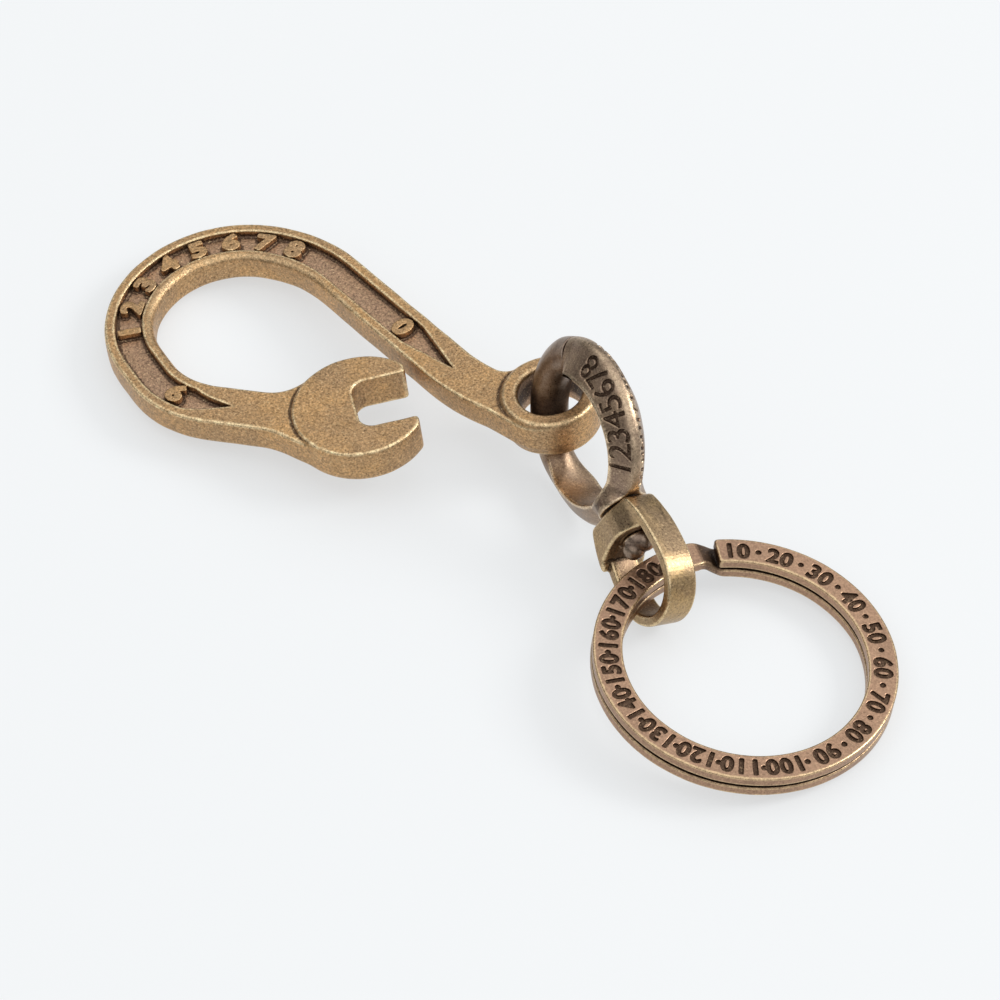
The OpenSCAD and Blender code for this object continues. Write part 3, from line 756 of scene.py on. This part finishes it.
stirrupPiece = castStirrup(stirrup)
# inside the stirrup's hole its hollow colour is a painted reflection of the split ring, and its deepest
# places get painted shade
stirrupBrass = agedBrass("stirrupBrass", {
    "metallic": 1.0, "patchPerMm": 0.2, "body": (0.47, 0.32, 0.155), "patina": (0.34, 0.235, 0.14),
    "rubbed": (0.76, 0.58, 0.34), "sunkColour": (0.22, 0.145, 0.1), "grimeAndShadeColour": (0.05, 0.032, 0.022),
    "rubFrom": 1.2, "rubTo": 3.2, "sunkFrom": 0.15, "sunkTo": 0.9, "sunkShare": 0.9,
    "nookFrom": 0.4, "nookTo": 1.4, "voidFrom": 1.25, "voidTo": 2.2, "grimeAndShadeShare": 0.92,
    "specks": 0.45, "grainPerMm": 3.6, "grainContrast": 0.36,
    "roughness": 0.32, "gritStrength": 0.9, "gritDepth": 0.05})
finish(stirrupPiece, stirrupBrass, "stirrup", "stirrup")


# the split ring: two turns of one strip, joined by a step, with a dial of numbers on the upper turn
splitRing = {
    "at": (36.567, -2.782, 3.324), "heading": 36.0, "tilt": 6.0,
    "low": (-17.0, -17.0, -1.7), "high": (17.0, 17.0, 1.7), "cell": 0.07,
    "radius": 16.5, "width": 3.28, "thickness": 1.25, "gap": 0.3, "rounding": 0.24,
    "unevenSize": 2.2, "uneven": 0.02, "seed": 9,
    "stepAt": 107.0, "stepShift": -0.9, "stepHalf": 1.55, "stepPast": 1, "steepReach": 6,
    "stepWidth": 3.1, "stepThickness": 1.15, "stepRounding": 0.5, "waistReach": 1.25,
    "upperEnd": 1.7, "lowerEnd": 2.6, "endRounding": 0.4,
    "dialFrom": 92.0, "dialPitch": -18.6,
    "dial": ["10", "20", "30", "40", "50", "60", "70", "80", "90",
             "100", "110", "120", "130", "140", "150", "160", "170", "180"],
    "numeralHeight": 1.95, "numeralAdvance": 1.5, "bold": 0.11, "dotRadius": 0.3,
    "markDepth": 0.3, "markRounding": 0.08, "markReach": 1.7,
}


def castSplitRing(s):
    xs, ys, zs = grid(s["low"], s["high"], s["cell"])
    x, y = np.meshgrid(xs, ys, indexing="ij")
    z = zs[None, None, :]
    line = s["radius"] - s["width"] / 2
    level = (s["thickness"] + s["gap"]) / 2
    radius = np.hypot(x, y)
    angle = np.degrees(np.arctan2(y, x))
    arc = np.radians((angle - s["stepAt"] + 180) % 360 - 180) * line
    # the strip's height and section, along the step that climbs from the lower turn to the upper one
    climb = eased(np.clip((arc - s["stepShift"]) / (2 * s["stepHalf"]) + 0.5, 0, 1))
    middle = (2 * climb - 1) * level
    waist = eased(np.clip(s["waistReach"] - np.abs(arc - s["stepShift"]) / s["stepHalf"], 0, 1))
    width = s["width"] + (s["stepWidth"] - s["width"]) * waist
    half = (s["thickness"] + (s["stepThickness"] - s["thickness"]) * waist)[:, :, None] / 2
    rounding = (s["rounding"] + (s["stepRounding"] - s["rounding"]) * waist)[:, :, None]
    slope = np.gradient(middle, s["cell"], axis=0) ** 2 + np.gradient(middle, s["cell"], axis=1) ** 2
    steep = (1 / np.sqrt(1 + np.where(np.abs(arc) < s["steepReach"], slope, 0)))[:, :, None]
    past = np.abs(arc - s["stepShift"]) - s["stepHalf"] - s["stepPast"]
    flat = np.maximum(np.abs(radius - line) - width / 2, past)[:, :, None]
    step = slab(flat, (z - middle[:, :, None]) * steep, half, rounding)

    def turn(at, leftEnd, rightEnd):
        away = np.where(arc > 0, leftEnd - arc, rightEnd + arc)
        outline = softMax(np.abs(radius - line) - s["width"] / 2, away, s["endRounding"])
        return slab(outline[:, :, None], z - at, s["thickness"] / 2, s["rounding"])

    upper = turn(level, s["stepHalf"] + s["stepShift"], s["upperEnd"])
    lower = turn(-level, s["lowerEnd"], s["stepHalf"] - s["stepShift"])
    body = np.minimum(np.minimum(upper, lower), step)
    body = body + unevenness((xs, ys, zs), s["unevenSize"], s["uneven"], s["seed"]) + s["uneven"]
    unmarked = body.astype(np.float32)
    body = unmarked.copy()
    # one thick strip, so that the slit between the turns counts as deep and is darkened with painted shade
    top = level + s["thickness"] / 2
    plain = slab((np.abs(radius - line) - s["width"] / 2)[:, :, None], z, top, s["rounding"])
    height = z - level - s["thickness"] / 2

    def mark(degrees, flatMark):
        t = math.radians(degrees)
        px, py = line * math.cos(t), line * math.sin(t)
        window = np.ix_(np.abs(xs - px) < s["markReach"], np.abs(ys - py) < s["markReach"])
        gx, gy = x[window] - px, y[window] - py
        a = t - math.pi / 2
        flat = flatMark(gx * math.cos(a) + gy * math.sin(a), gy * math.cos(a) - gx * math.sin(a))
        cut = np.maximum(flat[:, :, None], -height - s["markDepth"])
        body[window] = softMax(body[window], -cut, s["markRounding"])

    def digit(character):
        size = s["numeralHeight"]
        return lambda u, v: polygonField(numerals[character], u / size, v / size) * size - s["bold"]

    advance = math.degrees(s["numeralAdvance"] / line)
    for i, label in enumerate(s["dial"]):
        centre = s["dialFrom"] + i * s["dialPitch"]
        for j, character in enumerate(label):
            mark(centre - (j - (len(label) - 1) / 2) * advance, digit(character))
        mark(centre + s["dialPitch"] / 2, lambda u, v: np.hypot(u, v) - s["dotRadius"])
    place = moved(*s["at"]) @ turned("Z", s["heading"]) @ turned("Y", s["tilt"])
    return skin("splitRing", body, unmarked, plain.astype(np.float32), s["low"], s["cell"], place)


ringPiece = castSplitRing(splitRing)
ringBrass = agedBrass("ringBrass", {
    "metallic": 1.0, "patchPerMm": 0.12, "body": (0.46, 0.285, 0.185), "patina": (0.36, 0.225, 0.15),
    "rubbed": (0.66, 0.48, 0.28), "sunkColour": (0.07, 0.042, 0.028), "grimeAndShadeColour": (0.07, 0.042, 0.028),
    "rubFrom": 0.8, "rubTo": 3.0, "sunkFrom": 0.03, "sunkTo": 0.14, "sunkShare": 0.95,
    "nookFrom": 0.9, "nookTo": 2.4, "grimeAndShadeShare": 0.9,
    "specks": 0.35, "grainPerMm": 3.6, "grainContrast": 0.28,
    "roughness": 0.36, "gritStrength": 0.7, "gritDepth": 0.04})
finish(ringPiece, ringBrass, "key_ring", "split_ring")


# the table, the light and the camera
studio = {
    "floorSize": 4.0, "floorColour": (0.856, 0.871, 0.879), "floorRoughness": 0.6, "floorSpecular": 0.1,
    "glowShare": 0.66, "sky": (0.97, 0.985, 1.0), "skyLow": 0.12, "skyHigh": 1.2,
    "skyToward": (0.11, 0.02, 0.993), "skySpan": (0.15, 0.72),
    "softboxAt": (0.68, 0.58, 0.63), "softboxSize": 0.38, "softboxWatts": 5.2,
    "cameraAt": (0.19299, -0.26247, 0.37756), "cameraTowards": (0.000179, 0.002914, 0.0002),
    "lens": 162, "sensor": 36, "nearest": 0.01,
}
edge = studio["floorSize"] / 2
table = bpy.data.meshes.new("table")
table.from_pydata([(-edge, -edge, 0), (edge, -edge, 0), (edge, edge, 0), (-edge, edge, 0)], [],
                  [(0, 1, 2, 3)])
floor = bpy.data.objects.new("table", table)
bpy.context.scene.collection.objects.link(floor)
paper = bpy.data.materials.new("paleTable")
paper.use_nodes = True
paperNodes, paperLinks = paper.node_tree.nodes, paper.node_tree.links
paperShader = paperNodes["Principled BSDF"]
paperShader.inputs["Base Color"].default_value = (*studio["floorColour"], 1)
paperShader.inputs["Roughness"].default_value = studio["floorRoughness"]
paperShader.inputs["Specular IOR Level"].default_value = studio["floorSpecular"]
# to the camera and in reflections, part of the floor is its own pale colour, so its shadows are light
glow = paperNodes.new("ShaderNodeEmission")
glow.inputs["Color"].default_value = (*studio["floorColour"], 1)
rays = paperNodes.new("ShaderNodeLightPath")
seen = paperNodes.new("ShaderNodeMath")
seen.operation = "ADD"
seen.use_clamp = True
paperLinks.new(rays.outputs["Is Camera Ray"], seen.inputs[0])
paperLinks.new(rays.outputs["Is Glossy Ray"], seen.inputs[1])
share = paperNodes.new("ShaderNodeMath")
share.operation = "MULTIPLY"
share.inputs[1].default_value = studio["glowShare"]
paperLinks.new(seen.outputs["Value"], share.inputs[0])
mixed = paperNodes.new("ShaderNodeMixShader")
paperLinks.new(share.outputs["Value"], mixed.inputs["Fac"])
paperLinks.new(paperShader.outputs["BSDF"], mixed.inputs[1])
paperLinks.new(glow.outputs["Emission"], mixed.inputs[2])
paperLinks.new(mixed.outputs["Shader"], paperNodes["Material Output"].inputs["Surface"])
table.materials.append(paper)

# the room is bright overhead and dims towards the table's level, all the way round
world = bpy.data.worlds.new("studio")
bpy.context.scene.world = world
world.use_nodes = True
roomNodes, roomLinks = world.node_tree.nodes, world.node_tree.links
direction = roomNodes.new("ShaderNodeTexCoord")
facing = roomNodes.new("ShaderNodeVectorMath")
facing.operation = "DOT_PRODUCT"
facing.inputs[1].default_value = studio["skyToward"]
roomLinks.new(direction.outputs["Generated"], facing.inputs[0])
level = roomNodes.new("ShaderNodeMapRange")
level.interpolation_type = "SMOOTHSTEP"
for label, value in (("From Min", studio["skySpan"][0]), ("From Max", studio["skySpan"][1]),
                     ("To Min", studio["skyLow"]), ("To Max", studio["skyHigh"])):
    level.inputs[label].default_value = value
roomLinks.new(facing.outputs["Value"], level.inputs["Value"])
background = roomNodes["Background"]
background.inputs["Color"].default_value = (*studio["sky"], 1)
roomLinks.new(level.outputs["Result"], background.inputs["Strength"])
softbox = bpy.data.lights.new("softbox", "AREA")
softbox.size = studio["softboxSize"]
softbox.energy = studio["softboxWatts"]
softboxHolder = bpy.data.objects.new("softbox", softbox)
softboxHolder.location = studio["softboxAt"]
softboxHolder.rotation_euler = (-Vector(studio["softboxAt"])).to_track_quat("-Z", "Y").to_euler()
bpy.context.scene.collection.objects.link(softboxHolder)

# the photograph's camera
camera = bpy.data.cameras.new("camera")
camera.lens = studio["lens"]
camera.sensor_width = studio["sensor"]
camera.clip_start = studio["nearest"]
cameraHolder = bpy.data.objects.new("camera", camera)
cameraHolder.location = studio["cameraAt"]
sight = Vector(studio["cameraTowards"]) - Vector(studio["cameraAt"])
cameraHolder.rotation_euler = sight.to_track_quat("-Z", "Y").to_euler()
bpy.context.scene.collection.objects.link(cameraHolder)
bpy.context.scene.camera = cameraHolder
bpy.context.scene.view_settings.view_transform = "Standard"
print("studio ready")
